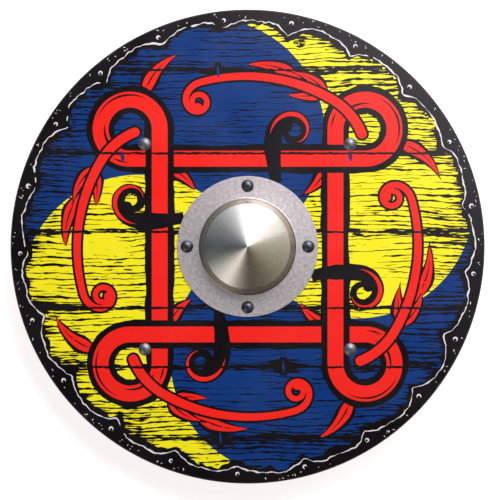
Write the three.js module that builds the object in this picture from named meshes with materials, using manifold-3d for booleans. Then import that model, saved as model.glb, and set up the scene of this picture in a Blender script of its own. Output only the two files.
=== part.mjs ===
// Round wooden shield with a spun steel boss and two leather arm straps, lying face up.
// Millimetres, +Z up. The origin is on the floor, straight under the centre of the board:
// the board's painted face looks up along +Z, and the shield lies on the flat middles of its straps.
// The planks printed on the board run along X, and its straps along Y. Worn on the left arm, the elbow is
// on the +X side, so the arm strap is there, and the grip strap is on the -X side.
import * as THREE from "three";
import { mergeVertices } from "three/addons/utils/BufferGeometryUtils.js";
import Module from "manifold-3d";

const wasm = await Module();
wasm.setup();

// ---- Driving dimensions ----
const BOARD_RADIUS = 305;
const BOARD_THICKNESS = 12;
const BOARD_EDGE_ROUND = 1.8;

const SHEET = 1.6; // thickness of the boss's steel
const FLANGE_RADIUS = 90.5;
const WALL_FOOT_RADIUS = 61.5; // outside of the boss's wall where it leaves the flange
const SHOULDER_RADIUS = 55; // outside of the wall where the cone starts
const WALL_HEIGHT = 18; // from the top of the flange to the shoulder
const CONE_HEIGHT = 31; // from the shoulder to the tip
const WALL_FILLET = 3; // between flange and wall, on the outside
const SHOULDER_ROUND = 1.2;
const LEAST_ROUND = 0.05; // of the shoulder inside the boss, where the sheet is thicker than the rounding

const BOSS_BOLT_CIRCLE = 78; // radius of the circle of boss bolts
const STRAP_BOLT_OFFSET = 132; // strap bolts sit at this distance from both centre lines

const SHANK_RADIUS = 3; // M6 carriage bolts with domed heads
const HEAD_RADIUS = 8;
const HEAD_HEIGHT = 3.6;
const NECK_WIDTH = 6;
const NECK_HEIGHT = 3.6;
const END_CHAMFER = 0.7;
const NUT_ACROSS_FLATS = 10;
const NUT_HEIGHT = 5;
const WASHER_RADIUS = 9;
const WASHER_THICKNESS = 1.5;
const SHANK_PAST_NUT = 2;
const CLEARANCE = 0.3; // round shanks and necks, in the holes and nuts they pass
const OVERCUT = 1; // how far a cutting solid runs past what it cuts

const STRAP_THICKNESS = 3.5;
const ARM_GAP = 28; // free height between the straps and the board
const ARM_STRAP_WIDTH = 45;
const GRIP_STRAP_WIDTH = 34;
const STRAP_TAB = 18; // strap left beyond each bolt
const STRAP_FLAT_END = 117; // where a strap leaves the board, from the centre line
const STRAP_REST_END = 72; // where it comes to lie on the floor

const BOARD_FACETS = 144;
const BOSS_FACETS = 72;
const BOLT_FACETS = 16; // of shanks, heads, washers and the round holes they pass
const BEND_STEPS = 10; // in each bend of a strap

// ---- Levels, from the floor up ----
const BACK_Z = STRAP_THICKNESS + ARM_GAP; // the board's back
const FACE_Z = BACK_Z + BOARD_THICKNESS; // the board's painted face

// ---- Materials ----
const standard = (color, roughness, metalness) =>
  new THREE.MeshStandardMaterial({ color, roughness, metalness });
const painted = standard(0x1d4f96, 0.5, 0);
const spunSteel = standard(0xc4c1bc, 0.35, 1);
const darkSteel = standard(0x55555a, 0.35, 1);
const zincSteel = standard(0xa9a8a4, 0.4, 1);
const leather = standard(0x5a3218, 0.6, 0);

// ---- Solids ----

// A geometry as a manifold-3d solid: only its positions count, with shared vertices merged.
function solidOf(geometry) {
  const bare = new THREE.BufferGeometry();
  bare.setAttribute("position", geometry.getAttribute("position"));
  if (geometry.index) bare.setIndex(geometry.index);
  const merged = mergeVertices(bare, 1e-3);
  return new wasm.Manifold(
    new wasm.Mesh({
      numProp: 3,
      vertProperties: new Float32Array(merged.getAttribute("position").array),
      triVerts: new Uint32Array(merged.index.array),
    }),
  );
}

function geometryOf(solid) {
  const mesh = solid.getMesh();
  const geometry = new THREE.BufferGeometry();
  geometry.setAttribute("position", new THREE.BufferAttribute(mesh.vertProperties, mesh.numProp));
  geometry.setIndex(new THREE.BufferAttribute(mesh.triVerts, 1));
  geometry.computeVertexNormals();
  return geometry;
}

// Turns a profile of [radius, height] points about Z. It runs so that the solid lies on its left.
function turned(profile, segments) {
  const points = profile.map(([radius, height]) => new THREE.Vector2(radius, height));
  return new THREE.LatheGeometry(points, segments).rotateX(Math.PI / 2);
}

// Points of an arc in a profile, about [radius, height], between two angles in degrees.
function arc(centreRadius, centreHeight, r, from, to, steps) {
  return Array.from({ length: steps + 1 }, (_, i) => {
    const angle = THREE.MathUtils.degToRad(from + ((to - from) * i) / steps);
    return [centreRadius + r * Math.cos(angle), centreHeight + r * Math.sin(angle)];
  });
}

// A cylinder standing on Z between two heights.
function rod(radius, low, high, segments) {
  return new THREE.CylinderGeometry(radius, radius, high - low, segments)
    .rotateX(Math.PI / 2)
    .translate(0, 0, (low + high) / 2);
}

function block(width, depth, low, high) {
  return new THREE.BoxGeometry(width, depth, high - low).translate(0, 0, (low + high) / 2);
}

// What a carriage bolt takes out of what it passes: a square seat for the neck and a round hole.
// The bolt's head sits at height 0 and its shank points down.
function boltHole(depth) {
  const seat = NECK_WIDTH + 2 * CLEARANCE;
  const round = solidOf(rod(SHANK_RADIUS + CLEARANCE, -depth - OVERCUT, OVERCUT, BOLT_FACETS));
  return round.add(solidOf(block(seat, seat, -NECK_HEIGHT - CLEARANCE, OVERCUT)));
}

// ---- Where the bolts go ----
const bossBolts = ["right", "top", "left", "bottom"].map((name, i) => {
  const angle = (i * Math.PI) / 2;
  return { name, x: BOSS_BOLT_CIRCLE * Math.cos(angle), y: BOSS_BOLT_CIRCLE * Math.sin(angle) };
});
const strapBolts = [
  { name: "upper_left", x: -STRAP_BOLT_OFFSET, y: STRAP_BOLT_OFFSET },
  { name: "upper_right", x: STRAP_BOLT_OFFSET, y: STRAP_BOLT_OFFSET },
  { name: "lower_left", x: -STRAP_BOLT_OFFSET, y: -STRAP_BOLT_OFFSET },
  { name: "lower_right", x: STRAP_BOLT_OFFSET, y: -STRAP_BOLT_OFFSET },
];

// ---- The board: one flat disc with rounded edges. Its back is at height 0. ----
function boardGeometry() {
  const inner = BOARD_RADIUS - BOARD_EDGE_ROUND;
  const upper = BOARD_THICKNESS - BOARD_EDGE_ROUND;
  const profile = [
    [0, 0],
    ...arc(inner, BOARD_EDGE_ROUND, BOARD_EDGE_ROUND, -90, 0, 2),
    ...arc(inner, upper, BOARD_EDGE_ROUND, 0, 90, 2),
    [0, BOARD_THICKNESS],
  ];
  let board = solidOf(turned(profile, BOARD_FACETS));
  for (const { x, y } of strapBolts) {
    board = board.subtract(boltHole(BOARD_THICKNESS).translate(x, y, BOARD_THICKNESS));
  }
  for (const { x, y } of bossBolts) {
    board = board.subtract(boltHole(BOARD_THICKNESS + SHEET).translate(x, y, BOARD_THICKNESS + SHEET));
  }
  return geometryOf(board);
}

// ---- The boss: flange, leaning wall, sharp shoulder and low cone, spun from one sheet. ----
// One face of the sheet, from the tip down and out to the flange, at a distance inside the outer face.
function bossFace(inset) {
  const lean = Math.atan2(WALL_FOOT_RADIUS - SHOULDER_RADIUS, WALL_HEIGHT);
  const rise = Math.atan2(CONE_HEIGHT, SHOULDER_RADIUS);
  const leanDegrees = THREE.MathUtils.radToDeg(lean);
  const riseDegrees = THREE.MathUtils.radToDeg(rise);
  const top = SHEET + WALL_HEIGHT;

  // The shoulder's rounding touches the wall and the cone. Its centre lies on the corner's bisector.
  const depth = Math.max(SHOULDER_ROUND, inset + LEAST_ROUND); // of that centre, from the outer face
  const halfCorner = (Math.PI / 2 + lean + rise) / 2; // half the angle that the metal fills
  const reach = depth / Math.sin(halfCorner);
  const bisector = (5 * Math.PI) / 4 + (lean - rise) / 2;
  const shoulder = [SHOULDER_RADIUS + reach * Math.cos(bisector), top + reach * Math.sin(bisector)];
  // The fillet touches the flange and the wall, from outside.
  const run = WALL_FILLET * Math.tan((Math.PI / 2 - lean) / 2);
  const fillet = [WALL_FOOT_RADIUS + run, SHEET + WALL_FILLET];

  return [
    [0, top + CONE_HEIGHT - inset / Math.cos(rise)],
    ...arc(...shoulder, depth - inset, 90 - riseDegrees, leanDegrees, 2),
    ...arc(...fillet, WALL_FILLET + inset, 180 + leanDegrees, 270, 3),
    [FLANGE_RADIUS, SHEET - inset],
  ];
}

function bossGeometry() {
  const profile = [...bossFace(SHEET), ...bossFace(0).reverse()];
  let boss = solidOf(turned(profile, BOSS_FACETS));
  for (const { x, y } of bossBolts) {
    boss = boss.subtract(boltHole(SHEET).translate(x, y, SHEET));
  }
  return geometryOf(boss);
}

// ---- Carriage bolt: domed head above height 0, square neck and shank below. ----
function boltGeometry(length) {
  const domeRadius = (HEAD_RADIUS ** 2 + HEAD_HEIGHT ** 2) / (2 * HEAD_HEIGHT);
  const domeHalf = THREE.MathUtils.radToDeg(Math.asin(HEAD_RADIUS / domeRadius));
  const dome = arc(0, HEAD_HEIGHT - domeRadius, domeRadius, 90 - domeHalf, 90, 4);
  const profile = [
    [0, -length],
    [SHANK_RADIUS - END_CHAMFER, -length],
    [SHANK_RADIUS, -length + END_CHAMFER],
    [SHANK_RADIUS, 0],
    ...dome.slice(0, -1),
    [0, HEAD_HEIGHT],
  ];
  const neck = solidOf(block(NECK_WIDTH, NECK_WIDTH, -NECK_HEIGHT, HEAD_HEIGHT / 2));
  return geometryOf(solidOf(turned(profile, BOLT_FACETS)).add(neck));
}

// Hexagon nut, its upper face at height 0.
function nutGeometry() {
  const corner = NUT_ACROSS_FLATS / 2 / Math.cos(Math.PI / 6);
  const bore = solidOf(rod(SHANK_RADIUS + CLEARANCE, -NUT_HEIGHT - OVERCUT, OVERCUT, BOLT_FACETS));
  return geometryOf(solidOf(rod(corner, -NUT_HEIGHT, 0, 6)).subtract(bore));
}

// Plain washer, its upper face at height 0.
function washerGeometry() {
  const bore = SHANK_RADIUS + CLEARANCE;
  return turned(
    [
      [bore, -WASHER_THICKNESS],
      [WASHER_RADIUS, -WASHER_THICKNESS],
      [WASHER_RADIUS, 0],
      [bore, 0],
      [bore, -WASHER_THICKNESS],
    ],
    BOLT_FACETS,
  );
}

// ---- Leather strap: bolted flat to the board at both ends, pressed flat on the floor between them. ----
// Height and slope of the strap's middle layer above the floor, at a distance from the centre line.
function strapLine(y) {
  const bottom = STRAP_THICKNESS / 2;
  const rise = BACK_Z - STRAP_THICKNESS;
  const run = STRAP_FLAT_END - STRAP_REST_END;
  const angle = THREE.MathUtils.clamp((Math.abs(y) - STRAP_REST_END) / run, 0, 1) * Math.PI;
  return {
    height: bottom + (rise * (1 - Math.cos(angle))) / 2,
    slope: (Math.sign(y) * rise * Math.PI * Math.sin(angle)) / (2 * run),
  };
}

function strapGeometry(width) {
  const end = STRAP_BOLT_OFFSET + STRAP_TAB;
  const rising = Array.from(
    { length: BEND_STEPS + 1 },
    (_, i) => STRAP_REST_END + ((STRAP_FLAT_END - STRAP_REST_END) * i) / BEND_STEPS,
  );
  const stations = [-end, ...rising.map((y) => -y).reverse(), ...rising, end];
  const side = (way) =>
    stations.map((y) => {
      const { height, slope } = strapLine(y);
      const offset = (way * STRAP_THICKNESS) / 2 / Math.hypot(1, slope);
      return new THREE.Vector2(y - slope * offset, height + offset);
    });
  const section = new THREE.Shape([...side(-1), ...side(1).reverse()]);

  // The section lies in the Y-Z plane and runs along X.
  const alongX = new THREE.Matrix4().makeBasis(
    new THREE.Vector3(0, 1, 0),
    new THREE.Vector3(0, 0, 1),
    new THREE.Vector3(1, 0, 0),
  );
  const ribbon = new THREE.ExtrudeGeometry(section, { depth: width, bevelEnabled: false })
    .translate(0, 0, -width / 2)
    .applyMatrix4(alongX);

  // Seen from above, its ends are round.
  const plan = new THREE.Shape();
  plan.moveTo(width / 2, width / 2 - end);
  plan.lineTo(width / 2, end - width / 2);
  plan.absarc(0, end - width / 2, width / 2, 0, Math.PI, false);
  plan.lineTo(-width / 2, width / 2 - end);
  plan.absarc(0, width / 2 - end, width / 2, Math.PI, 2 * Math.PI, false);
  const outline = new THREE.ExtrudeGeometry(plan, {
    depth: BACK_Z + 2 * OVERCUT,
    bevelEnabled: false,
    curveSegments: BOLT_FACETS / 2,
  });

  const hole = solidOf(rod(SHANK_RADIUS + CLEARANCE, 0, BACK_Z + OVERCUT, BOLT_FACETS));
  return geometryOf(
    solidOf(ribbon)
      .intersect(solidOf(outline.translate(0, 0, -OVERCUT)))
      .subtract(hole.translate(0, STRAP_BOLT_OFFSET, 0))
      .subtract(hole.translate(0, -STRAP_BOLT_OFFSET, 0)),
  );
}

// ---- Assembly ----
const shield = new THREE.Group();

function place(parent, name, geometry, material, x, y, z) {
  const mesh = new THREE.Mesh(geometry, material);
  mesh.name = name;
  mesh.position.set(x, y, z);
  parent.add(mesh);
}

place(shield, "board", boardGeometry(), painted, 0, 0, BACK_Z);
place(shield, "boss", bossGeometry(), spunSteel, 0, 0, FACE_Z);

// One set of bolts with their washers and nuts. packing is how much lies between the board and a washer.
function fasten(name, places, headZ, packing) {
  const washerZ = BACK_Z - packing;
  const nutZ = washerZ - WASHER_THICKNESS;
  const bolt = boltGeometry(headZ - (nutZ - NUT_HEIGHT - SHANK_PAST_NUT));
  const washer = washerGeometry();
  const nut = nutGeometry();
  const set = new THREE.Group();
  for (const at of places) {
    place(set, `${name}_bolt_${at.name}`, bolt, darkSteel, at.x, at.y, headZ);
    place(set, `${name}_washer_${at.name}`, washer, zincSteel, at.x, at.y, washerZ);
    place(set, `${name}_nut_${at.name}`, nut, zincSteel, at.x, at.y, nutZ);
  }
  shield.add(set);
}

fasten("boss", bossBolts, FACE_Z + SHEET, 0);
fasten("strap", strapBolts, FACE_Z, STRAP_THICKNESS);

place(shield, "arm_strap", strapGeometry(ARM_STRAP_WIDTH), leather, STRAP_BOLT_OFFSET, 0, 0);
place(shield, "grip_strap", strapGeometry(GRIP_STRAP_WIDTH), leather, -STRAP_BOLT_OFFSET, 0, 0);

export default shield;
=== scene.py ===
"""The looks of a round wooden shield that lies face up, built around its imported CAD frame.

The board's face carries a flat print: a four-part swirl in blue and yellow over woodcut planks, a looped
square with scrolls in red and black, and a black rim with drawn nails. The print is laid out in
millimetres from the board's centre, as complex numbers: x to the right, y upwards.
"""

import cmath
import math
import random

import bmesh
import bpy
import numpy as np
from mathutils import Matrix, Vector, noise
from mathutils.geometry import delaunay_2d_cdt


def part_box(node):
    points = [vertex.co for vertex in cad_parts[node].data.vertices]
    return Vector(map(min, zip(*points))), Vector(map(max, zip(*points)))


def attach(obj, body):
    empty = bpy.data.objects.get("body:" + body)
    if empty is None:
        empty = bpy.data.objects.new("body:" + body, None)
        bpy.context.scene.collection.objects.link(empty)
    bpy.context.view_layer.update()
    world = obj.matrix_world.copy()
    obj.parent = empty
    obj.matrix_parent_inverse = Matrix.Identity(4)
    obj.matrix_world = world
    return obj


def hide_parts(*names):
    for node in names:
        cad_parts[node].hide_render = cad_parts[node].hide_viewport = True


MM = 0.001
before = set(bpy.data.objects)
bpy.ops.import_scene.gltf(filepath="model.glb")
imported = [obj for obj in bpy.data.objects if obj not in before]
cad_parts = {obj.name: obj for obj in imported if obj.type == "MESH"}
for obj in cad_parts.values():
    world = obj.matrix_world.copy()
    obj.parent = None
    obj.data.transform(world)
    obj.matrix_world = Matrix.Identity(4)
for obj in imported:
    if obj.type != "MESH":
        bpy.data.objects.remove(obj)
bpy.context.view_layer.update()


def frame_box(node):
    """The low and the high corner of a node of the frame, in millimetres."""
    return [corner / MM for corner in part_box(node)]


def middle_x(node):
    """X of the middle of a node of the frame, in millimetres."""
    return sum(corner.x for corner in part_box(node)) / 2 / MM


# ---- Sizes from the frame ----
BOARD_LOW, BOARD_HIGH = frame_box("board")
BOARD_RADIUS, FACE_Z, BACK_Z = BOARD_HIGH.x, BOARD_HIGH.z, BOARD_LOW.z
BOSS_HIGH = frame_box("boss")[1]
BOSS_RADIUS, BOSS_TIP = BOSS_HIGH.x, BOSS_HIGH.z
BOSS_BOLT = middle_x("boss_bolt_right")
STRAP_BOLT = middle_x("strap_bolt_upper_right")

# ---- Sizes that a box doesn't give. They are the CAD's, apart from those that say otherwise ----
EDGE_ROUND = 1.8  # of the board
SHEET = 1.6  # thickness of the boss's steel
WALL_FOOT, SHOULDER, WALL_HEIGHT = 61.5, 55.0, 18.0  # the boss's wall: radii of its two ends, height
WALL_FILLET = 3.0
SHOULDER_ROUND = 1.0  # a little sharper than the CAD's
HEAD_RADIUS, HEAD_HEIGHT = 8.0, 3.6
SHANK_RADIUS, NECK_WIDTH, NECK_HEIGHT = 3.0, 6.0, 3.6
BORE_RADIUS = SHANK_RADIUS + 0.3
STRAP_THICKNESS, STRAP_REST_END, STRAP_FLAT_END = 3.5, 72.0, 117.0
FILM = 0.15  # thickness of the print, which the CAD has in the board

# ---- Camera ----
VIEW_WIDTH = 642.9  # seen across the picture at the height of the board's face
VIEW_OFFSET = (3.1, -4.4)  # of the picture's middle from the board's
CAMERA_HEIGHT = 2600.0
SENSOR = 36.0


def make_camera():
    """A camera over the board that looks straight down."""
    data = bpy.data.cameras.new("camera")
    data.sensor_width = SENSOR
    data.lens = SENSOR * (CAMERA_HEIGHT - FACE_Z) / VIEW_WIDTH
    camera = bpy.data.objects.new("camera", data)
    camera.location = Vector((*VIEW_OFFSET, CAMERA_HEIGHT)) * MM
    bpy.context.scene.collection.objects.link(camera)
    bpy.context.scene.camera = camera


# ---- Materials ----
class Nodes:
    """A tree of shader nodes, with short names for those that are used. Lengths are in millimetres."""

    def __init__(self, tree):
        self.tree = tree

    def node(self, kind, inputs=(), **settings):
        made = self.tree.nodes.new("ShaderNode" + kind)
        for name, value in settings.items():
            setattr(made, name, value)
        for socket, value in dict(inputs).items():
            self.feed(made.inputs[socket], value)
        return made

    def feed(self, socket, value):
        if isinstance(value, bpy.types.NodeSocket):
            self.tree.links.new(value, socket)
        else:
            socket.default_value = value

    def math(self, operation, *values):
        return self.node("Math", dict(enumerate(values)), operation=operation).outputs[0]

    def place(self, stretch=(1, 1, 1)):
        """The point shaded, in millimetres, with each axis stretched."""
        coordinates = self.node("TexCoord").outputs["Object"]
        scale = [s / MM for s in stretch]
        return self.node("VectorMath", {0: coordinates, 1: scale}, operation="MULTIPLY").outputs[0]

    def radius(self):
        """Distance of the point shaded from the Z axis."""
        return self.node("VectorMath", {0: self.place((1, 1, 0))}, operation="LENGTH").outputs["Value"]

    def split(self, vector):
        return self.node("SeparateXYZ", {0: vector}).outputs

    def noise(self, vector, size, detail=3.0, roughness=0.5):
        inputs = {"Vector": vector, "Scale": 1 / size, "Detail": detail, "Roughness": roughness}
        return self.node("TexNoise", inputs).outputs["Fac"]

    def ripple(self, distance, size, detail):
        """Noise along one line only."""
        inputs = {"W": distance, "Scale": 1 / size, "Detail": detail}
        return self.node("TexNoise", inputs, noise_dimensions="1D").outputs["Fac"]

    def ramp(self, value, *stops):
        """Values or colours at shares of value. Each stop is (share, value or colour)."""
        made = self.node("ValToRGB", {0: value})
        elements = made.color_ramp.elements
        while len(elements) < len(stops):
            elements.new(1.0)
        for element, (share, colour) in zip(elements, stops):
            element.position = share
            element.color = (*colour, 1) if isinstance(colour, tuple) else (colour,) * 3 + (1,)
        return made.outputs[0]

    def mix(self, share, a, b):
        """A colour between a and b."""
        made = self.node("Mix", data_type="RGBA")
        for socket, value in ((0, share), (6, a), (7, b)):
            self.feed(made.inputs[socket], (*value, 1) if isinstance(value, tuple) else value)
        return made.outputs[2]


class Shader(Nodes):
    """A Principled material."""

    def __init__(self, name, **plain):
        self.material = bpy.data.materials.new(name)
        self.material.use_nodes = True
        super().__init__(self.material.node_tree)
        self.skin = self.tree.nodes["Principled BSDF"]
        for socket, value in plain.items():
            self.drive(socket.replace("_", " "), value)

    def drive(self, socket, value):
        """Feeds one of the material's own inputs."""
        self.feed(self.skin.inputs[socket], value)

    def bump(self, height, depth, strength):
        """Raises the surface by height times depth in millimetres."""
        inputs = {"Height": height, "Distance": depth * MM, "Strength": strength}
        self.drive("Normal", self.node("Bump", inputs).outputs[0])


def linear(red, green, blue):
    """A colour given as a screen shows it, from 0 to 255, as linear light."""
    return tuple(
        c / 255 / 12.92 if c <= 10 else ((c / 255 + 0.055) / 1.055) ** 2.4 for c in (red, green, blue)
    )


def ink(name, colour):
    """Screen ink under a thin varnish, with the plywood's grain just showing through in the gloss."""
    made = Shader(f"ink_{name}", Base_Color=(*colour, 1), Specular_IOR_Level=0.5)
    fibre = made.noise(made.place((0.12, 1, 1)), 3.0, 4.0)
    peel = made.noise(made.place(), 2.2, 1.0)
    smear = made.noise(made.place(), 60.0, 3.0)
    made.drive("Roughness", made.ramp(smear, (0.35, 0.27), (0.65, 0.36)))
    made.bump(made.math("MULTIPLY_ADD", fibre, 0.7, peel), 0.035, 0.5)
    return made.material


def edge_paint():
    """Black paint brushed round the plywood's edge, thin enough for the plies to show in it."""
    made = Shader("edge_paint", Specular_IOR_Level=0.5)
    place = made.place()
    height = made.split(place)[2]
    ply_thickness = 1.7
    ply = made.math("PINGPONG", made.math("SUBTRACT", height, BACK_Z), ply_thickness)
    worn = made.noise(place, 5.0, 5.0, 0.7)
    bare = made.ramp(made.math("MULTIPLY_ADD", ply, 0.05, worn), (0.66, 0.0), (0.72, 1.0))
    made.drive("Base Color", made.mix(bare, (0.012, 0.010, 0.012), (0.16, 0.11, 0.07)))
    made.drive("Roughness", made.ramp(worn, (0.3, 0.42), (0.7, 0.6)))
    made.bump(made.math("MULTIPLY_ADD", ply, 0.3, worn), 0.25, 0.6)
    return made.material


def back_plywood():
    """Varnished birch plywood with its grain along X, and black overspray from the rim."""
    made = Shader("back_plywood", Coat_Weight=0.15, Coat_Roughness=0.3)
    bent = made.noise(made.place((0.004, 0.012, 1)), 1.0, 2.0)
    y = made.split(made.place())[1]
    wander, ring_gap, ragged = 260.0, 17.0, 26.0
    rings = made.math("MULTIPLY_ADD", bent, wander, y)
    figure = made.math("PINGPONG", made.math("MULTIPLY", rings, 1 / ring_gap), 1.0)
    fibre = made.noise(made.place((0.03, 1, 1)), 1.1, 5.0, 0.65)
    pale, dark = (0.56, 0.37, 0.19), (0.36, 0.205, 0.09)
    wood = made.mix(made.ramp(figure, (0.55, 0.0), (1.0, 0.55)), pale, dark)
    wood = made.mix(made.ramp(fibre, (0.35, 0.45), (0.7, 0.0)), wood, (0.27, 0.15, 0.07))
    reach = made.math("MULTIPLY_ADD", made.noise(made.place(), 9.0, 5.0, 0.7), ragged, made.radius())
    spray = made.ramp(made.math("DIVIDE", reach, BOARD_RADIUS + ragged), (0.935, 0.0), (0.985, 1.0))
    made.drive("Base Color", made.mix(spray, wood, (0.012, 0.010, 0.011)))
    made.drive("Roughness", made.ramp(fibre, (0.3, 0.56), (0.7, 0.4)))
    made.bump(fibre, 0.12, 0.5)
    return made.material


def spun_steel(name, tint, roughness, stretch, grooves, mottle):
    """Steel turned on a lathe: fine rings about Z, whose gloss is stretched across them into rays."""
    made = Shader(name, Metallic=1.0, Anisotropic=stretch, Anisotropic_Rotation=0.25)
    tool = made.ripple(made.radius(), 0.45, 3.0)
    cloud = made.noise(made.place(), 4.5, 8.0, 0.78)
    light = linear(*tint)
    dull = linear(*(0.79 * c for c in tint))
    made.drive("Base Color", made.mix(made.ramp(cloud, (0.35, mottle), (0.62, 0.0)), light, dull))
    rough = made.math("MULTIPLY_ADD", tool, 0.10, roughness - 0.05)
    made.drive("Roughness", made.math("MULTIPLY_ADD", cloud, 0.12, made.math("SUBTRACT", rough, 0.06)))
    made.drive("Tangent", made.node("Tangent", direction_type="RADIAL", axis="Z").outputs[0])
    made.bump(tool, grooves, 0.6)
    return made.material


def bolt_steel(name, colour, roughness):
    """Plated or plain steel, a little worn; the paler copy on the strap bolts is painted sheen."""
    made = Shader(name, Metallic=1.0)
    wear = made.noise(made.place(), 1.6, 5.0, 0.65)
    dull = tuple(c * 0.55 for c in colour)
    made.drive("Base Color", made.mix(made.ramp(wear, (0.35, 0.8), (0.65, 0.0)), colour, dull))
    made.drive("Roughness", made.math("MULTIPLY_ADD", wear, 0.16, roughness - 0.08))
    made.bump(wear, 0.05, 0.5)
    return made.material


def strap_leather():
    """Brown leather with pores, paler in patches."""
    made = Shader("strap_leather", Specular_IOR_Level=0.4)
    cloud = made.noise(made.place(), 22.0, 5.0, 0.6)
    cells = {"Vector": made.place(), "Scale": 1 / 1.5}
    pore = made.node("TexVoronoi", cells, feature="DISTANCE_TO_EDGE").outputs["Distance"]
    brown, tan = linear(96, 56, 30), linear(140, 88, 48)
    hide = made.mix(made.ramp(cloud, (0.3, 0.0), (0.7, 1.0)), brown, tan)
    hide = made.mix(made.ramp(pore, (0.0, 0.45), (0.12, 0.0)), hide, linear(48, 26, 15))
    made.drive("Base Color", hide)
    made.drive("Roughness", made.ramp(cloud, (0.3, 0.62), (0.7, 0.48)))
    made.bump(made.ramp(pore, (0.0, 0.0), (0.2, 1.0)), 0.12, 0.7)
    return made.material


# ---- Meshes ----
def piece(name, bm, materials, replaces=None, location=(0, 0, 0), smooth=True):
    """A finished piece of the shield from a bmesh in millimetres. replaces names the CAD node it covers."""
    if smooth:
        bmesh.ops.recalc_face_normals(bm, faces=bm.faces)
    bmesh.ops.scale(bm, vec=(MM,) * 3, verts=bm.verts)
    for face in bm.faces:
        face.smooth = smooth
    data = bpy.data.meshes.new(name)
    bm.to_mesh(data)
    bm.free()
    for material in materials:
        data.materials.append(material)
    made = bpy.data.objects.new(name, data)
    made.location = Vector(location) * MM
    bpy.context.scene.collection.objects.link(made)
    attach(made, "root")
    if replaces:
        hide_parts(replaces)
    if smooth:
        crease(made)


def crease(made, angle=math.radians(32)):
    """Marks the edges that turn by more than angle as sharp."""
    bm = bmesh.new()
    bm.from_mesh(made.data)
    for edge in bm.edges:
        edge.smooth = len(edge.link_faces) != 2 or edge.calc_face_angle() < angle
    bm.to_mesh(made.data)
    bm.free()


def rings_to_mesh(bm, rings, close=False):
    """Skins rings of equally many points. A ring of one point is a tip."""
    made = [[bm.verts.new(p) for p in ring] for ring in rings]
    pairs = list(zip(made, made[1:])) + ([(made[-1], made[0])] if close else [])
    for one, two in pairs:
        count = max(len(one), len(two))
        for i in range(count):
            j = (i + 1) % count
            corners = (one[i % len(one)], one[j % len(one)], two[j % len(two)], two[i % len(two)])
            bm.faces.new(list(dict.fromkeys(corners)))
    return made


def turned(profile, segments, close=False):
    """A bmesh turned about Z from [radius, height] points. A radius of 0 is a point on the axis."""
    bm = bmesh.new()
    angles = [2 * math.pi * i / segments for i in range(segments)]
    rings = [
        [(0, 0, h)] if r == 0 else [(r * math.cos(a), r * math.sin(a), h) for a in angles]
        for r, h in profile
    ]
    rings_to_mesh(bm, rings, close)
    return bm


def bow(centre, radius, start, end, steps):
    """Profile points of an arc about centre, between two angles in degrees."""
    angles = [math.radians(start + (end - start) * i / steps) for i in range(steps + 1)]
    return [(centre[0] + radius * math.cos(a), centre[1] + radius * math.sin(a)) for a in angles]


# ---- Drawing lines for the print ----
def arc(centre, radius, start, end, step=3.0):
    """Points of an arc between two angles in degrees, at most step apart."""
    count = max(2, math.ceil(abs(math.radians(end - start)) * radius / step))
    return centre + radius * np.exp(1j * np.radians(np.linspace(start, end, count + 1)))


def straight(start, end, step=3.0):
    """Points of a straight line, at most step apart."""
    return np.linspace(start, end, max(2, math.ceil(abs(end - start) / step)) + 1)


def joined(*lines):
    """Lines end to end, without the doubled points where they meet."""
    return np.concatenate([lines[0], *(line[1:] for line in lines[1:])])


def pen(start, heading, *legs, step=2.6):
    """A line from start. Each leg is (length, turn in degrees, tightening): a tightening of 0 is a plain
    arc, and one towards 1 is a spiral that bends ever more."""
    points, angle = [start], math.radians(heading)
    for length, turn, tightening in legs:
        count = max(2, round(length / step))
        for i in range(count):
            bend = math.radians(turn) / count * (1 + tightening * ((2 * i + 1) / count - 1))
            angle += bend / 2
            points.append(points[-1] + length / count * cmath.exp(1j * angle))
            angle += bend / 2
    return np.array(points)


def hull(points):
    """The convex outline of a few points, anticlockwise, so that a folded shape can't occur."""
    points = sorted(points, key=lambda p: (p.real, p.imag))
    outline = []
    for row in (points, points[::-1]):
        chain = []
        for p in row:
            while len(chain) > 1 and ((chain[-1] - chain[-2]).conjugate() * (p - chain[-1])).imag <= 1e-9:
                chain.pop()
            chain.append(p)
        outline += chain[:-1]
    return outline


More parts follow.
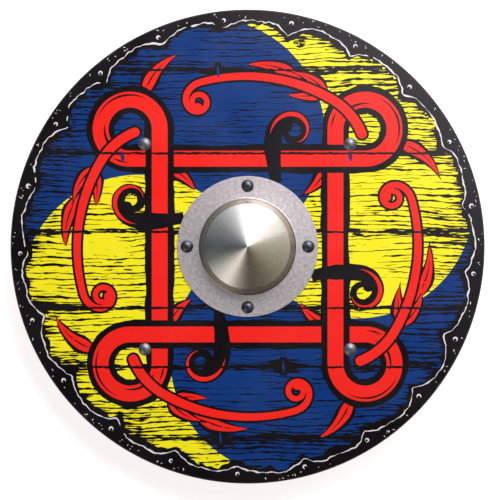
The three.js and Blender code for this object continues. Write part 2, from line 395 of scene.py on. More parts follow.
class Print:
    """Flat shapes laid over one another in inks. The shape laid last is the one that shows."""

    SMALLEST = 0.08  # area of a shape that is laid at all
    HAIR_END, HAIR = 0.1, 0.25  # the least width of a stroke's piece at its thinner end, and on average
    LEAK_SHARE, LEAK = 1.2, 1.0  # a shape leaks when it covers this share of its area and this much more
    MERGE = 1e-5  # points nearer than this become one

    def __init__(self):
        self.points, self.shapes, self.inks, self.areas = [], [], [], []

    def lay(self, outline, ink_name):
        """Lays one shape. The triangulation needs every shape to run anticlockwise."""
        outline = list(outline)
        area = sum((a.conjugate() * b).imag for a, b in zip(outline, outline[1:] + outline[:1])) / 2
        if abs(area) < self.SMALLEST:
            return
        first = len(self.points)
        self.points += [Vector((p.real, p.imag)) for p in (outline if area > 0 else outline[::-1])]
        self.shapes.append(list(range(first, len(self.points))))
        self.inks.append(ink_name)
        self.areas.append(abs(area))

    def dot(self, centre, radius, ink_name, sides=20):
        """A round spot."""
        self.lay([centre + cmath.rect(radius, 2 * math.pi * i / sides) for i in range(sides)], ink_name)

    def stroke(self, line, width, ink_name):
        """A stroke along a line, as a chain of four-sided shapes. Pieces thinner than a hair stay out."""
        width = np.broadcast_to(np.asarray(width, float), line.shape)
        along = np.gradient(line)
        side = 0.5j * width * along / np.abs(along)
        left, right = line + side, line - side
        for i in range(len(line) - 1):
            ends = (width[i], width[i + 1])
            if min(ends) > self.HAIR_END and sum(ends) / 2 > self.HAIR:
                self.lay(hull([left[i], left[i + 1], right[i + 1], right[i]]), ink_name)

    def outlined(self, line, width, rim):
        """A red stroke with a black rim on both sides, round at both ends."""
        width = np.broadcast_to(np.asarray(width, float), line.shape)
        for extra, ink_name in ((2 * rim, "black"), (0, "red")):
            for end in (0, -1):
                if width[end] + extra > 1:
                    self.dot(line[end], (width[end] + extra) / 2, ink_name)
            self.stroke(line, width + extra, ink_name)

    def triangles(self):
        """Points, triangles and each triangle's ink, with the holes left out. A sliver can leak out over
        the whole sheet, so a shape that covers more than its own area doesn't count."""
        inside_only = 1
        cut = delaunay_2d_cdt(self.points, [], self.shapes, inside_only, self.MERGE, True)
        points, _, faces, _, _, origins = cut
        flat = np.array([(p.x, p.y) for p in points])
        a, b, c = (flat[[face[i] for face in faces]] for i in range(3))
        sizes = np.abs(np.cross(b - a, c - a)) / 2
        covered = np.zeros(len(self.shapes))
        for size, laid in zip(sizes, origins):
            covered[laid] += size
        sound = covered < self.LEAK_SHARE * np.array(self.areas) + self.LEAK
        kept = [(face, [i for i in laid if sound[i]]) for face, laid in zip(faces, origins)]
        kept = [(face, self.inks[max(laid)]) for face, laid in kept if laid]
        kept = [(face, ink_name) for face, ink_name in kept if ink_name != "hole"]
        return points, [face for face, _ in kept], [ink_name for _, ink_name in kept]


# ---- The print's layout, in millimetres from the board's centre ----
PRINT_RADIUS = BOARD_RADIUS - EDGE_ROUND
SEAMS = (-246, -155, -79, 19, 120, 227)  # heights of the seams between the drawn planks
CLEATS = ((-38, 225), (-161, 116), (132, 117), (-35, -246), (46, -154))  # drawn nails across the seams
KNOTS = ((67, 262, 5.0), (125, -108, 9.0), (-150, 70, 7.0))  # x, y and size
SWIRL = (110, 203, 290, 383)  # where the four edges of the swirl meet the rim
SLANT = (-105, -30)  # middle of the patch where the grain slants
GRAIN_RADIUS, SEAM_RADIUS, SPECKLE_RADIUS = 287, 284, 280  # how far out each is drawn, under the rim
SPECKS, SCUFFS = 4200, 230
WHITE_LINE = 291.8  # radius of the rim's white line between its notches
NAILS = 21
FIRST_NAIL = 96.0  # its angle
NAIL_CIRCLE = 292.5
HOLE_RADIUS, HOLE_SIDES = 4.7, 20
INKS = {
    "blue": linear(4, 54, 124),
    "yellow": linear(255, 241, 28),
    "red": linear(252, 36, 26),
    "black": linear(9, 3, 6),
    "white": linear(236, 228, 230),
}


def rough(x, y, seed, size=1.0):
    """Smooth noise from about -0.5 to 0.5 at a point of the print."""
    return noise.noise(Vector((x / size, y / size, seed)))


def half_chord(y, radius):
    """Half the length of the line across a circle at height y."""
    return math.sqrt(max(0.0, radius * radius - y * y))


def lay_swirl(sheet):
    """Four curved sectors. Each edge is a half circle between the board's centre and its rim."""
    def edge(meets_rim):
        middle = cmath.rect(PRINT_RADIUS / 2, math.radians(meets_rim))
        return arc(middle, PRINT_RADIUS / 2, meets_rim - 180, meets_rim)

    for i, (one, two) in enumerate(zip(SWIRL, (*SWIRL[1:], SWIRL[0] + 360))):
        outline = joined(edge(one), arc(0, PRINT_RADIUS, one, two), edge(two)[::-1])[:-1]
        sheet.lay(outline, "yellow" if i % 2 else "blue")


def on_yellow(x, y):
    """Whether a point lies in a yellow sector of the swirl."""
    bend = math.degrees(math.acos(min(1.0, math.hypot(x, y) / PRINT_RADIUS)))
    turned_back = (math.degrees(math.atan2(y, x)) + bend - SWIRL[0]) % 360
    return sum(turned_back > edge - SWIRL[0] for edge in SWIRL) % 2 == 0


def grain_drift(x, y, plank):
    """How far the grain at a point has wandered from a straight line, with its bend round the knots."""
    drift = 9 * rough(x / 150, y / 60, 3.1 * plank) + 1.6 * rough(x / 24, y / 14, 7.7 + plank)
    across, up = x - SLANT[0], y - SLANT[1]
    drift += math.exp(-((across / 75) ** 2) - (up / 55) ** 2) * across * 0.14
    for knot_x, knot_y, size in KNOTS:
        away = y - knot_y
        push = math.exp(-(((x - knot_x) / (2.6 * size)) ** 2) - abs(away) / (2.2 * size))
        drift += math.copysign(size, away) * push
    return drift


def grain_width(x, y, to_seam):
    """Thickness of a grain line at a point: it swells beside the seams and the rim, and fades in places."""
    clear = max(0.0, rough(x / 105, y / 42, 9.4) - 0.08)
    near_rim = max(0.0, math.hypot(x, y) - 205) / 70
    width = 1.35 + 1.9 * rough(x / 30, y * 0.9, 1.7) - 5.5 * clear
    width += 1.3 * math.exp(-to_seam / 7) + 1.3 * near_rim
    return width if on_yellow(x, y) else 0.78 * width


def lay_grain_line(sheet, rng, low, high, y, plank, share):
    """One line of grain across a plank. share scales it: a faint line is thin and much broken."""
    step = 5.2
    half = half_chord(y, GRAIN_RADIUS)
    count = int(2 * half / step)
    line, width = [], []
    for i in range(count + 1):
        x = -half + 2 * half * i / max(1, count) + rng.uniform(-1.2, 1.2)
        to_seam = min(y - low, high - y)
        level = y + min(1.0, to_seam / 9) * grain_drift(x, y, plank) + rng.uniform(-0.5, 0.5)
        line.append(complex(x, min(max(level, low + 0.5), high - 0.5)))
        broken = 1.0 if share == 1 else 2.2 * rough(x / 9, y, 5.5) + 0.25
        width.append(grain_width(x, y, to_seam) * rng.uniform(0.5, 1.5) * share * broken)
    if count > 2:
        sheet.stroke(np.array(line), width, "black")


def lay_grain(sheet, rng):
    """Wood grain as a woodcut shows it: lines along the planks, thick and thin, ragged and broken."""
    edges = (-PRINT_RADIUS, *SEAMS, PRINT_RADIUS)
    for plank, (low, high) in enumerate(zip(edges, edges[1:])):
        y = low + 2.5
        while y < high - 1.5:
            near = min(y - low, high - y) < 10
            gap = rng.uniform(3.6, 4.8) if near else rng.uniform(6.0, 9.0)
            lay_grain_line(sheet, rng, low, high, y, plank, 1)
            if not near:
                lay_grain_line(sheet, rng, low, high, y + gap / 2, plank, 0.55)
            y += gap


def lay_speckle(sheet, rng):
    """Short dashes left between the grain lines, thickest in patches of the yellow."""
    for _ in range(SPECKS):
        x = rng.uniform(-SPECKLE_RADIUS, SPECKLE_RADIUS)
        y = rng.uniform(-SPECKLE_RADIUS, SPECKLE_RADIUS)
        ground = math.hypot(x, y) < SPECKLE_RADIUS + 2 and on_yellow(x, y)
        if ground and rough(x / 55, y / 26, 6.1) > rng.uniform(0.0, 0.45):
            reach = complex(rng.uniform(0.6, 2.4), rng.uniform(-0.8, 0.8))
            dash = complex(x, y) + reach * np.array([-1, 0, 1])
            sheet.stroke(dash, [0.14, rng.uniform(0.5, 1.1), 0.14], "black")


def lay_knots(sheet, rng):
    """Broken rings inside each knot."""
    for x, y, size in KNOTS:
        for share in (1.0, 0.66, 0.34):
            turn = np.radians(np.linspace(0, 330, 22)) + rng.uniform(0, 6)
            line = complex(x, y) + size * share * (1.45 * np.cos(turn) + 0.75j * np.sin(turn))
            sheet.stroke(line, 1.5 * np.abs(np.sin(turn * 1.5)) + 0.6, "black")


def lay_seams(sheet, rng):
    """Ragged black lines between the planks, over the whole print."""
    for y in SEAMS:
        half = half_chord(y, SEAM_RADIUS)
        xs = np.arange(-half, half, 4.0)
        line = xs + 1j * np.array([y + rng.uniform(-0.5, 0.5) for _ in xs])
        sheet.stroke(line, [rng.uniform(2.0, 3.6) for _ in xs], "black")


def lay_seam_shadows(sheet, rng):
    """The dark, splintered zone that runs beside each seam under the ornament."""
    for y in SEAMS:
        half = half_chord(y, SEAM_RADIUS)
        x = -half
        while x < half:
            reach, aside = rng.uniform(8, 34), rng.choice((-1, 1)) * rng.uniform(0.8, 3.6)
            xs = np.linspace(x, min(x + reach, half), 5)
            line = xs + 1j * np.array([y + aside + rng.uniform(-0.5, 0.5) for _ in xs])
            sheet.stroke(line, np.array([0.2, 1, 1.2, 0.9, 0.2]) * rng.uniform(1.0, 3.0), "black")
            x += rng.uniform(5, 15)


def lay_cleats(sheet, rng):
    """The ragged black shadows of the drawn nails that hold the planks together."""
    for x, y in CLEATS:
        for _ in range(16):
            reach = rng.uniform(8, 24)
            level = y + rng.uniform(-8, 8)
            fan = complex(0, rng.uniform(-2, 2))
            line = np.array([-reach + fan, -reach / 3, reach / 3, reach - fan]) + complex(x, level)
            sheet.stroke(line, [0.3, 3.4, 3.4, 0.3], "black")
        sheet.stroke(straight(complex(x, y - 12), complex(x, y + 12)), 9.0, "black")


def lay_cleat_bars(sheet):
    """The blue bars of the drawn nails, each with a black rim."""
    for x, y in CLEATS:
        bar = straight(complex(x + 0.6, y - 8.5), complex(x - 0.4, y + 8.5))
        sheet.stroke(bar, leaf_widths(bar, 4.6, 0.5), "black")
        sheet.stroke(bar, leaf_widths(bar, 3.0, 0.5), "blue")


# ---- The looped square and its scrolls ----
SQUARE = 113.0  # from the centre to the middle of each side
LOOP = 38.0  # radius of the corner loops
BAND, BAND_RIM = 20.5, 8.0
LOOP_CENTRE = complex(SQUARE + LOOP, SQUARE + LOOP)
VINE_RIM = 2.9
TURNS = [1j**quarter for quarter in range(4)]
LEAVES = (  # in one quarter: start, heading, length, bend, width, rim
    (complex(70, 214), 142, 74, 44, 14, 4.0),
    (complex(104, 192), 118, 56, 52, 12, 4.0),
    (complex(-134, 186), 84, 76, -58, 15, 4.5),
    (complex(104, 198), 196, 52, -26, 12, 4.0),
    (complex(-106, 104), -20, 50, -38, 13, 4.5),
)
SHADES = ((6.0, -30, 70, 2.4), (-5.0, 75, 160, 2.8), (5.0, 150, 178, 2.0))  # on a loop: offset, angles, width


def looped_square():
    """One endless band: along a side, past the corner, round a loop and down the next side."""
    side = straight(complex(-SQUARE - LOOP, SQUARE), complex(SQUARE + LOOP, SQUARE), 6.0)
    part = joined(side, arc(LOOP_CENTRE, LOOP, -90, 180, 3.6))
    return joined(*(part * (-1j) ** quarter for quarter in range(4)))


def leaf_widths(line, widest, share=0.4):
    """Widths of a leaf that is widest at a share of its length and pointed at both ends."""
    t = np.linspace(0, 1, len(line))
    rise = np.clip(t / share, 0, 1)
    fall = np.clip((1 - t) / (1 - share), 0, 1)
    return widest * np.minimum(np.sin(rise * math.pi / 2), fall**0.8) + 0.2


def lay_cut(sheet, line, width, seed, amount=2.6):
    """A bold black stroke with the uneven edges that a gouge leaves."""
    def wobble(seed, size):
        return np.array([rough(p.real, p.imag, seed, size) for p in line])

    uneven = wobble(seed, 21) + 0.6 * wobble(seed, 7)
    along = np.gradient(line)
    shift = 0.5j * amount * wobble(seed + 5, 26)
    sheet.stroke(line + shift * along / np.abs(along), width + amount * 1.6 * uneven, "black")


def lay_leaf(sheet, line, widest, rim):
    """A pointed leaf with a black rim that runs out past its tip, and a black vein."""
    longer = np.append(line, line[-1] + (line[-1] - line[-3]) * 1.6)
    lay_cut(sheet, longer, leaf_widths(longer, widest + 2 * rim), 2.2, 1.4)
    sheet.stroke(line, leaf_widths(line, widest), "red")
    vein = line[len(line) // 4 : -len(line) // 5]
    sheet.stroke(vein, leaf_widths(vein, 1.7, 0.3), "black")


def lay_vine(sheet, turn):
    """A vine from the hole of a corner loop, over its band, along the rim and into a volute with a bud."""
    line = pen(complex(147, 145), 112, (60, 38, 0), (174, 45, 0), (117, 520, 0.64), step=3.2) * turn
    bud = 6.0
    sheet.dot(line[-1], bud + VINE_RIM, "black")
    sheet.outlined(line, np.linspace(12.5, 6.5, len(line)), VINE_RIM)
    sheet.dot(line[-1], bud, "red")


def lay_claw(sheet, turn):
    """A black claw that rises over the side of the square and curls, with a red crescent on its back."""
    line = pen(complex(38, 82), 104, (62, -20, 0), (112, -395, 0.5), step=3.2) * turn
    t = np.linspace(0, 1, len(line))
    width = np.interp(t, (0, 0.28, 0.7, 1), (13, 23, 13, 7))
    lay_cut(sheet, line, width, 3.3, 1.6)
    sheet.dot(line[-1], 7.0, "black")
    along = np.gradient(line)
    back = line + 0.22j * width * along / np.abs(along)
    back = back[int(len(line) * 0.36) : int(len(line) * 0.84)]
    sheet.stroke(back, leaf_widths(back, 5.4, 0.5), "red")


def lay_loop_shades(sheet, turn):
    """Thin black cuts along the band of a corner loop."""
    for offset, start, end, widest in SHADES:
        shade = arc(LOOP_CENTRE, LOOP + offset, start, end) * turn
        sheet.stroke(shade, leaf_widths(shade, widest, 0.5), "black")


def lay_crossing(sheet, turn):
    """The strand that passes over the other one at a corner: its red runs a little past its black."""
    reach = BAND / 2 + BAND_RIM + 1.0
    over = straight(complex(SQUARE - reach, SQUARE), complex(SQUARE + reach, SQUARE)) * turn
    sheet.stroke(over, BAND + 2 * BAND_RIM, "black")
    longer = straight(complex(SQUARE - reach - 1, SQUARE), complex(SQUARE + reach + 1, SQUARE)) * turn
    sheet.stroke(longer, BAND, "red")


def lay_ornament(sheet):
    """Leaves under the looped square, vines and claws over it."""
    for turn in TURNS:
        for start, heading, length, bend, widest, rim in LEAVES:
            lay_leaf(sheet, pen(start, heading, (length, bend, 0)) * turn, widest, rim)
    band = looped_square()
    lay_cut(sheet, band, BAND + 2 * BAND_RIM, 4.1)
    sheet.stroke(band, BAND, "red")
    for turn in TURNS:
        lay_loop_shades(sheet, turn)
        lay_crossing(sheet, turn)
    for turn in TURNS:
        lay_vine(sheet, turn)
        lay_claw(sheet, turn)


# ---- The drawn rim ----
def rim_noise(angle, size, seed):
    """Noise round the rim, at an angle in degrees, with features about size degrees long."""
    around = math.radians(angle)
    in_a_radian = 57.3  # degrees
    return rough(math.cos(around) * in_a_radian / size, math.sin(around) * in_a_radian / size, seed)


def rim_line(angle):
    """Radius of the rim's white line at an angle in degrees: it is notched inwards round each nail."""
    spacing = 360 / NAILS
    nail = round((angle - FIRST_NAIL) / spacing)
    away = abs(angle - FIRST_NAIL - nail * spacing - 1.6 * rough(nail % NAILS, 0.5, 3.3))
    depth = 11.5 + 6 * rough(nail % NAILS, 0.5, 9.9)
    notch = math.exp(-((away / 2.5) ** 1.3))
    return WHITE_LINE - depth * notch + 3.6 * rim_noise(angle, 5.0, 4.4) + 2.0 * rim_noise(angle, 1.1, 2.4)


def lay_rim_ground(sheet, rng):
    """The rim's black, ragged and splintered on its inner side."""
    angles = np.arange(0, 360, 0.75)
    inner = [rim_line(a) - 6.0 + 7.0 * rim_noise(a, 2.0, 1.5) for a in angles]
    for i, angle in enumerate(angles):
        j = (i + 1) % len(angles)
        corners = [(inner[i], i), (PRINT_RADIUS, i), (PRINT_RADIUS, j), (inner[j], j)]
        sheet.lay([cmath.rect(r, math.radians(angles[k])) for r, k in corners], "black")
        if rng.random() < 0.7:
            lay_fringe(sheet, rng, cmath.rect(inner[i] + 2.0, math.radians(angle)))


def lay_rim_line(sheet, rng):
    """The rim's broken white line."""
    angles = np.arange(0, 360.1, 0.6)
    line = np.array([cmath.rect(rim_line(a), math.radians(a)) for a in angles])
    width = [max(0.0, 1.35 + 1.9 * rim_noise(a, 1.6, 8.8) + rng.uniform(-0.55, 0.45)) for a in angles]
    sheet.stroke(line, width, "white")


def lay_fringe(sheet, rng, root):
    """A black splinter from the rim inwards, along the grain."""
    level = min(1, abs(root.real) / 170 + 0.2)
    inwards = -math.copysign(1, root.real) * rng.uniform(6, 30) * level * rng.uniform(0.4, 1.0)
    tip = root + complex(inwards, rng.uniform(-1.6, 1.6))
    sheet.stroke(np.array([root, (root + tip) / 2, tip]), [rng.uniform(1.8, 4.0), 1.6, 0.15], "black")


def lay_nail(sheet, rng, centre):
    """A drawn nail head: a white crescent round a black eye."""
    radius = rng.uniform(2.5, 3.4)
    sheet.dot(centre, radius + 2.0, "black")
    sheet.dot(centre, radius, "white", 14)
    aside = cmath.rect(radius * rng.uniform(0.3, 0.55), rng.uniform(-2.6, -0.4))
    sheet.dot(centre + aside, radius * rng.uniform(0.55, 0.72), "black", 12)


def lay_scuff(sheet, rng):
    """A white speck or short dash by the outer edge."""
    angle = rng.uniform(0, 2 * math.pi)
    if rim_noise(math.degrees(angle), 9.0, 6.6) < rng.uniform(-0.35, 0.25):
        return
    start = cmath.rect(rng.uniform(296.0, PRINT_RADIUS - 1.2), angle)
    lean = rng.uniform(-1.2, 1.2) + angle + rng.choice((0, math.pi / 2))
    tip = start + cmath.rect(rng.uniform(0.8, 3.8), lean)
    if abs(tip) < PRINT_RADIUS - 0.6 and abs(start) < PRINT_RADIUS - 0.6:
        sheet.stroke(np.array([start, (start + tip) / 2, tip]), [0.3, rng.uniform(0.5, 1.5), 0.3], "white")


def lay_rim(sheet, rng):
    """The black rim with its white line, nails and scuffs."""
    lay_rim_ground(sheet, rng)
    lay_rim_line(sheet, rng)
    for nail in range(NAILS):
        lay_nail(sheet, rng, cmath.rect(NAIL_CIRCLE, math.radians(FIRST_NAIL + 360 / NAILS * nail)))
    for _ in range(SCUFFS):
        lay_scuff(sheet, rng)


# ---- The board ----
def bolt_places():
    """Each bolt's kind and side, with its place: four round the boss, four at the corners of a square."""
    places = {f"boss_{side}": BOSS_BOLT * 1j**i for i, side in enumerate(("right", "top", "left", "bottom"))}
    for level, y in (("upper", 1), ("lower", -1)):
        for side, x in (("left", -1), ("right", 1)):
            places[f"strap_{level}_{side}"] = complex(x, y) * STRAP_BOLT
    return places


def add_sheet(bm, sheet, z, slots):
    """The sheet's triangles at height z. slots gives each ink's place in the materials."""
    points, triangles, inks = sheet.triangles()
    corners = [bm.verts.new((p.x, p.y, z)) for p in points]
    for triangle, ink_name in zip(triangles, inks):
        bm.faces.new([corners[i] for i in triangle]).material_index = slots[ink_name]
    bmesh.ops.delete(bm, geom=[v for v in bm.verts if not v.link_faces], context="VERTS")


def make_print():
    """The print as a thin closed sheet, one material for each ink."""
    rng = random.Random(7)
    sheet = Print()
    lay_swirl(sheet)
    lay_grain(sheet, rng)
    lay_speckle(sheet, rng)
    lay_knots(sheet, rng)
    lay_seam_shadows(sheet, rng)
    lay_cleats(sheet, rng)
    lay_rim(sheet, rng)
    lay_ornament(sheet)
    lay_seams(sheet, rng)
    lay_cleat_bars(sheet)
    for centre in bolt_places().values():
        sheet.dot(centre, HOLE_RADIUS, "hole", HOLE_SIDES)

    slots = {name: i for i, name in enumerate(INKS)}
    bm = bmesh.new()
    add_sheet(bm, sheet, FACE_Z, slots)
    close_below(bm, slots["black"])
    inks = [ink(name, colour) for name, colour in INKS.items()]
    piece("board_print", bm, inks, smooth=False)


def close_below(bm, slot):
    """Gives an open sheet that faces up its walls and an underside, facing outwards."""
    border = [loop for face in bm.faces for loop in face.loops if loop.edge.is_boundary]
    corners = dict.fromkeys(v for loop in border for v in (loop.vert, loop.link_loop_next.vert))
    below = {v: bm.verts.new(v.co - Vector((0, 0, FILM))) for v in corners}
    walls = [(loop.vert, loop.link_loop_next.vert) for loop in border]
    for a, b in walls:
        bm.faces.new((b, a, below[a], below[b])).material_index = slot
    edges = [bm.edges.get((below[a], below[b])) for a, b in walls]
    for face in bmesh.ops.triangle_fill(bm, edges=edges, use_beauty=False)["geom"]:
        if isinstance(face, bmesh.types.BMFace):
            face.material_index = slot
            face.normal_update()
            if face.normal.z > 0:
                face.normal_flip()


def make_board():
    """The plywood board under the print: black paint on its edge, varnished wood on its back."""
    segments = 240
    inner, top = BOARD_RADIUS - EDGE_ROUND, FACE_Z - FILM
    to_film = 66  # degrees up the upper round, to the print's underside
    profile = bow((inner, BACK_Z + EDGE_ROUND), EDGE_ROUND, -90, 0, 6)
    profile += bow((inner, FACE_Z - EDGE_ROUND), EDGE_ROUND, 0, to_film, 5) + [(inner, top)]
    bm = turned(profile, segments)
    for height, slot in ((top, 0), (BACK_Z, 1)):
        for face in fill_face(bm, height, inner):
            face.material_index = slot
    wall_holes(bm)
    piece("board_wood", bm, [edge_paint(), back_plywood()], "board")


def fill_face(bm, height, radius):
    """Fills the round opening at a height, with the bolt holes left open."""
    rim = [v for v in bm.verts if abs(v.co.z - height) < 1e-3 and abs(v.co.xy.length - radius) < 1e-2]
    edges = [e for v in rim for e in v.link_edges if e.other_vert(v) in rim and e.is_boundary]
    for centre in bolt_places().values():
        hole = [centre + cmath.rect(HOLE_RADIUS, 2 * math.pi * i / HOLE_SIDES) for i in range(HOLE_SIDES)]
        ring = [bm.verts.new((p.real, p.imag, height)) for p in hole]
        edges += [bm.edges.new((ring[i], ring[(i + 1) % HOLE_SIDES])) for i in range(HOLE_SIDES)]
    made = bmesh.ops.triangle_fill(bm, edges=list(dict.fromkeys(edges)), use_beauty=True)["geom"]
    return [face for face in made if isinstance(face, bmesh.types.BMFace)]


def wall_holes(bm):
    """Walls of the bolt holes, between equal loops on the two faces."""
    def spot(vert):
        return round(vert.co.x, 3), round(vert.co.y, 3)

    border = [e for e in bm.edges if e.is_boundary]
    middle = (FACE_Z + BACK_Z) / 2
    above = {spot(v): v for e in border for v in e.verts if v.co.z > middle}
    for edge in border:
        a, b = edge.verts
        if a.co.z < middle and spot(a) in above and spot(b) in above:
            bm.faces.new((a, b, above[spot(b)], above[spot(a)]))


# ---- The boss ----
RIM_CUT = 0.3  # off the corners of the flange's edge


def boss_face(inset):
    """Profile of the sheet's face at a depth of inset in the steel, from the tip to the flange's edge."""
    flange = FACE_Z + SHEET
    top = flange + WALL_HEIGHT
    lean = math.atan2(WALL_FOOT - SHOULDER, WALL_HEIGHT)
    rise = math.atan2(BOSS_TIP - top, SHOULDER)
    least_round = 0.05
    depth = max(SHOULDER_ROUND, inset + least_round)
    reach = depth / math.sin((math.pi / 2 + lean + rise) / 2)
    bisector = 5 * math.pi / 4 + (lean - rise) / 2
    shoulder = (SHOULDER + reach * math.cos(bisector), top + reach * math.sin(bisector))
    fillet = (WALL_FOOT + WALL_FILLET * math.tan((math.pi / 2 - lean) / 2), flange + WALL_FILLET)
    start = (0.0, BOSS_TIP - inset / math.cos(rise))
    arc_down = bow(shoulder, depth - inset, 90 - math.degrees(rise), math.degrees(lean), 6)
    shares = (0.008, *np.linspace(0, 1, 13)[1:-1])  # a first ring by the tip keeps its shading to a point
    cone = [(arc_down[0][0] * s, start[1] + (arc_down[0][1] - start[1]) * s) for s in shares]
    arc_out = bow(fillet, WALL_FILLET + inset, 180 + math.degrees(lean), 270, 8)
    return [start, *cone, *arc_down, *arc_out, (BOSS_RADIUS - RIM_CUT, flange - inset)]


def make_boss():
    """The spun sheet, one steel throughout, in three copies by radius: the cone's own, a darker one on the
    wall that is painted shade, and a paler, pinkish one on the flange that is painted sheen.
    """
    inner, outer = boss_face(SHEET), boss_face(0)
    edge = [(BOSS_RADIUS, FACE_Z + RIM_CUT), (BOSS_RADIUS, FACE_Z + SHEET - RIM_CUT)]
    bm = turned([*inner, *edge, *reversed(outer)], 256)
    wall_from, flange_from = SHOULDER - 0.6, WALL_FOOT + 1.4
    for face in bm.faces:
        radius = face.calc_center_median().xy.length
        face.material_index = int(radius > wall_from) + int(radius > flange_from)
    materials = [
        spun_steel("spun_steel", (218, 214, 208), 0.27, 0.5, 0.02, 0.25),
        # Darker, browner copy of the cone's steel: painted shade on the wall
        spun_steel("wall_steel_painted_shade", (152, 144, 130), 0.30, 0.4, 0.03, 0.5),
        # Paler, pinkish copy of the cone's steel: painted sheen on the flange
        spun_steel("flange_steel_painted_sheen", (250, 240, 241), 0.44, 0.1, 0.03, 0.9),
    ]
    piece("boss_dome", bm, materials, "boss")


# ---- Bolts, washers and nuts ----
def thread(bm, low, high, radius, pitch=1.0, depth=0.45, chamfer=0.7, sides=24):
    """A threaded shank from low to high, closed at both ends and chamfered at the lower one."""
    rows_in_pitch = 6
    rows = max(2, round((high - low) / pitch * rows_in_pitch))
    rings = [[(0, 0, low)]]
    for row in range(rows + 1):
        z = low + (high - low) * row / rows
        slim = max(0.0, chamfer - (z - low))
        ring = []
        for i in range(sides):
            share = (z / pitch - i / sides) % 1.0
            r = radius - depth * abs(2 * share - 1) - slim
            angle = 2 * math.pi * i / sides
            ring.append((r * math.cos(angle), r * math.sin(angle), z))
        rings.append(ring)
    rings.append([(0, 0, high)])
    rings_to_mesh(bm, rings)


def make_bolt(name, at, head_z, end_z, material):
    """A carriage bolt: low domed head, square neck, threaded shank. Its origin is under its head."""
    dome = (HEAD_RADIUS**2 + HEAD_HEIGHT**2) / (2 * HEAD_HEIGHT)
    half = math.degrees(math.asin(HEAD_RADIUS / dome))
    profile = [(0.0, HEAD_HEIGHT), *bow((0, HEAD_HEIGHT - dome), dome, 88, 90 - half + 3, 9)]
    profile += [(HEAD_RADIUS, 0.45), (HEAD_RADIUS - 0.2, 0.0), (0.0, 0.0)]
    bm = turned(profile, 48)
    n, neck_top = NECK_WIDTH / 2, -0.01
    rings = [[(x, y, z) for x, y in ((n, n), (-n, n), (-n, -n), (n, -n))] for z in (-NECK_HEIGHT, neck_top)]
    rings_to_mesh(bm, [[(0, 0, -NECK_HEIGHT)], *rings, [(0, 0, neck_top)]])
    thread(bm, end_z - head_z, -NECK_HEIGHT + 0.5, SHANK_RADIUS)
    place = (at.real, at.imag, head_z)
    piece(f"{name}_finish", bm, [material], name, place)


def make_washer(name, at, material):
    """A flat washer with its outer corners taken off."""
    low, high = frame_box(name)
    outer, top, soft = (high.x - low.x) / 2, high.z - low.z, 0.25
    profile = [(BORE_RADIUS, 0.0), (outer - soft, 0.0), (outer, soft)]
    profile += [(outer, top - soft), (outer - soft, top), (BORE_RADIUS, top)]
    bm = turned(profile, 48, close=True)
    piece(f"{name}_finish", bm, [material], name, (at.real, at.imag, low.z))


def make_nut(name, at, material):
    """A hexagon nut with its corners turned off at both ends."""
    low, high = frame_box(name)
    flat, height, sides = (high.x - low.x) / 2, high.z - low.z, 72
    angles = [2 * math.pi * i / sides for i in range(sides)]
    hexagon = [flat / math.cos((a + math.pi / 6) % (math.pi / 3) - math.pi / 6) for a in angles]
    turned_to, soft, drop = flat * 0.97, 0.5, math.tan(math.radians(30))

    def column(h):
        """Radius and height of each ring at an angle where the hexagon's radius is h."""
        corner = (h, (h - turned_to) * drop)
        lower = [(BORE_RADIUS, soft), (BORE_RADIUS + soft, 0.0), (turned_to, 0.0), corner]
        return lower + [(r, height - z) for r, z in reversed(lower)]

    rows = zip(*(column(h) for h in hexagon))
    rings = [[(r * math.cos(a), r * math.sin(a), z) for a, (r, z) in zip(angles, row)] for row in rows]
    bm = bmesh.new()
    rings_to_mesh(bm, rings, close=True)
    piece(f"{name}_finish", bm, [material], name, (at.real, at.imag, low.z))


def make_fasteners():
    """A bolt, a washer and a nut at each bolt's place."""
    boss_bolt = bolt_steel("boss_bolt_steel", linear(96, 98, 108), 0.34)
    # The strap bolts are the same steel as the boss bolts; their paler colour is painted sheen
    strap_bolt = bolt_steel("strap_bolt_steel", linear(140, 142, 150), 0.42)
    zinc = bolt_steel("zinc_steel", linear(190, 188, 182), 0.36)
    for place, at in bolt_places().items():
        kind, side = place.split("_", 1)
        low, high = frame_box(f"{kind}_bolt_{side}")
        material = boss_bolt if kind == "boss" else strap_bolt
        make_bolt(f"{kind}_bolt_{side}", at, high.z - HEAD_HEIGHT, low.z, material)
        make_washer(f"{kind}_washer_{side}", at, zinc)
        make_nut(f"{kind}_nut_{side}", at, zinc)


# ---- Straps ----
def strap_section(half, thickness):
    """The strap's section, from its upper face round: soft edges, and creased lines along both sides."""
    r, t = 1.1, thickness / 2
    crease_at, groove, lip = half - 4.5, 0.35, 0.9
    upper = [
        (half - r, t), (crease_at + lip, t), (crease_at, t - groove), (crease_at - lip, t), (0, t),
        (-crease_at + lip, t), (-crease_at, t - groove), (-crease_at - lip, t), (-half + r, t),
    ]
    left = [(-half + r * 0.3, t - r * 0.3), (-half, t - r), (-half, r - t), (-half + r * 0.3, r * 0.3 - t)]
    lower = [(-x, -y) for x, y in upper]
    return [*upper, *left, *lower, *[(-x, -y) for x, y in left]]


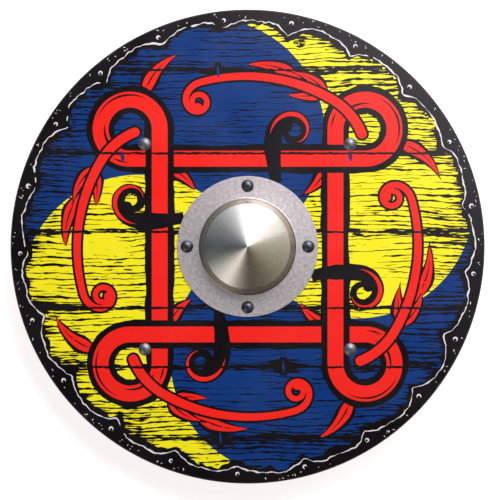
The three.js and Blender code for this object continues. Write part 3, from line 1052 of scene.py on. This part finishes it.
def make_strap(name, leather):
    """A leather strap on the CAD strap's line, with its own section and round ends."""
    low, high = frame_box(name)
    half, end, centre_x = (high.x - low.x) / 2, high.y, (high.x + low.x) / 2
    rise = high.z - STRAP_THICKNESS
    run = STRAP_FLAT_END - STRAP_REST_END
    tips = [end - half * (1 - math.sin(a)) for a in np.linspace(0, math.pi / 2 * 0.985, 12)]
    stations = sorted({round(s, 4) for y in (*np.arange(0, STRAP_BOLT, 3.0), *tips) for s in (y, -y)})
    rings = []
    for y in stations:
        angle = min(max((abs(y) - STRAP_REST_END) / run, 0), 1) * math.pi
        level = STRAP_THICKNESS / 2 + rise * (1 - math.cos(angle)) / 2
        slope = math.copysign(1, y) * rise * math.pi * math.sin(angle) / (2 * run)
        past = max(0.0, abs(y) - (end - half))
        width = math.sqrt(max(0.04, half**2 - past**2))
        across = 1 / math.hypot(1, slope)
        ring = []
        for x, t in strap_section(half, STRAP_THICKNESS):
            shift = t * across
            ring.append((x * width / half, y - slope * shift, level + shift))
        rings.append(ring)
    bm = bmesh.new()
    made = rings_to_mesh(bm, rings)
    bm.faces.new(made[0])
    bm.faces.new(made[-1])
    piece(f"{name}_leather", bm, [leather], name, (centre_x, 0, 0))


def make_straps():
    """Both straps, in one leather."""
    leather = strap_leather()
    for name in ("arm_strap", "grip_strap"):
        make_strap(name, leather)


# ---- Floor, lights and world ----
def make_floor():
    """A plain pale floor, almost white, which can be looked through from below."""
    bm = bmesh.new()
    bmesh.ops.create_grid(bm, x_segments=1, y_segments=1, size=6.0)
    data = bpy.data.meshes.new("floor")
    bm.to_mesh(data)
    bm.free()
    floor = bpy.data.objects.new("floor", data)
    made = Shader("floor", Base_Color=(0.6, 0.6, 0.6, 1), Roughness=0.9, Emission_Strength=0.72)
    made.drive("Emission Color", (1, 1, 1, 1))
    clear = made.node("BsdfTransparent").outputs[0]
    behind = made.node("NewGeometry").outputs["Backfacing"]
    both = made.node("MixShader", {0: behind, 1: made.skin.outputs[0], 2: clear}).outputs[0]
    made.feed(made.tree.nodes["Material Output"].inputs["Surface"], both)
    data.materials.append(made.material)
    bpy.context.scene.collection.objects.link(floor)


def soft_light(name, azimuth, elevation, distance, size, radiance, colour=(1, 1, 1), aim=(0, 0, 0)):
    """A soft square panel that faces aim. Angles are in degrees, lengths in metres. It isn't seen itself."""
    data = bpy.data.lights.new(name, "AREA")
    data.shape = "SQUARE"
    data.size = size
    data.energy = radiance * math.pi * size * size
    data.color = colour
    light = bpy.data.objects.new(name, data)
    flat = cmath.rect(math.cos(math.radians(elevation)), math.radians(azimuth))
    towards = Vector((flat.real, flat.imag, math.sin(math.radians(elevation))))
    light.location = Vector(aim) + towards * distance
    light.rotation_euler = towards.to_track_quat("Z", "Y").to_euler()
    light.visible_camera = False
    bpy.context.scene.collection.objects.link(light)


# The light low in the sky, as (degrees round from the right, colour): bright and dark studio walls.
WALLS = (
    (0, (0.50, 0.47, 0.36)), (30, (0.62, 0.60, 0.50)), (52, (0.95, 0.93, 0.90)), (75, (1.6, 1.6, 1.62)),
    (98, (1.5, 1.5, 1.55)), (118, (0.62, 0.66, 0.70)), (142, (0.24, 0.28, 0.31)), (180, (0.03, 0.055, 0.07)),
    (200, (0.12, 0.14, 0.14)), (222, (0.74, 0.72, 0.68)), (238, (1.35, 1.28, 1.2)), (254, (0.38, 0.33, 0.26)),
    (270, (0.06, 0.045, 0.03)), (290, (0.10, 0.08, 0.045)), (320, (0.28, 0.25, 0.17)),
    (360, (0.50, 0.47, 0.36)),
)


def make_world():
    """Soft light from walls of uneven brightness, a paler ring above them and a dark patch overhead."""
    world = bpy.data.worlds.new("world")
    world.use_nodes = True
    bpy.context.scene.world = world
    made = Nodes(world.node_tree)
    x, y, z = made.split(made.node("TexCoord").outputs["Generated"])
    turn = made.math("MULTIPLY_ADD", made.math("ARCTAN2", y, x), 1 / (2 * math.pi), 1.0)
    walls = made.ramp(made.math("FRACT", turn), *((degrees / 360, colour) for degrees, colour in WALLS))
    ring = made.mix(made.ramp(z, (0.70, 0.0), (0.80, 1.0)), walls, (0.95, 0.97, 1.0))
    sky = made.mix(made.ramp(z, (0.80, 0.0), (0.89, 1.0)), ring, (0.035, 0.035, 0.045))
    made.feed(made.tree.nodes["Background"].inputs["Color"], sky)


def make_lights():
    """Two panels, the world round them, and colours shown as they are."""
    soft_light("veil_panel", 45, 62, 1.15, 0.85, 2.0, (0.96, 0.94, 1.0), aim=(0.14, 0.14, 0))
    soft_light("key_panel", 74, 44, 2.4, 1.3, 5.4)
    make_world()
    bpy.context.scene.view_settings.view_transform = "Standard"


make_camera()
make_print()
make_board()
make_boss()
make_fasteners()
make_straps()
make_floor()
make_lights()
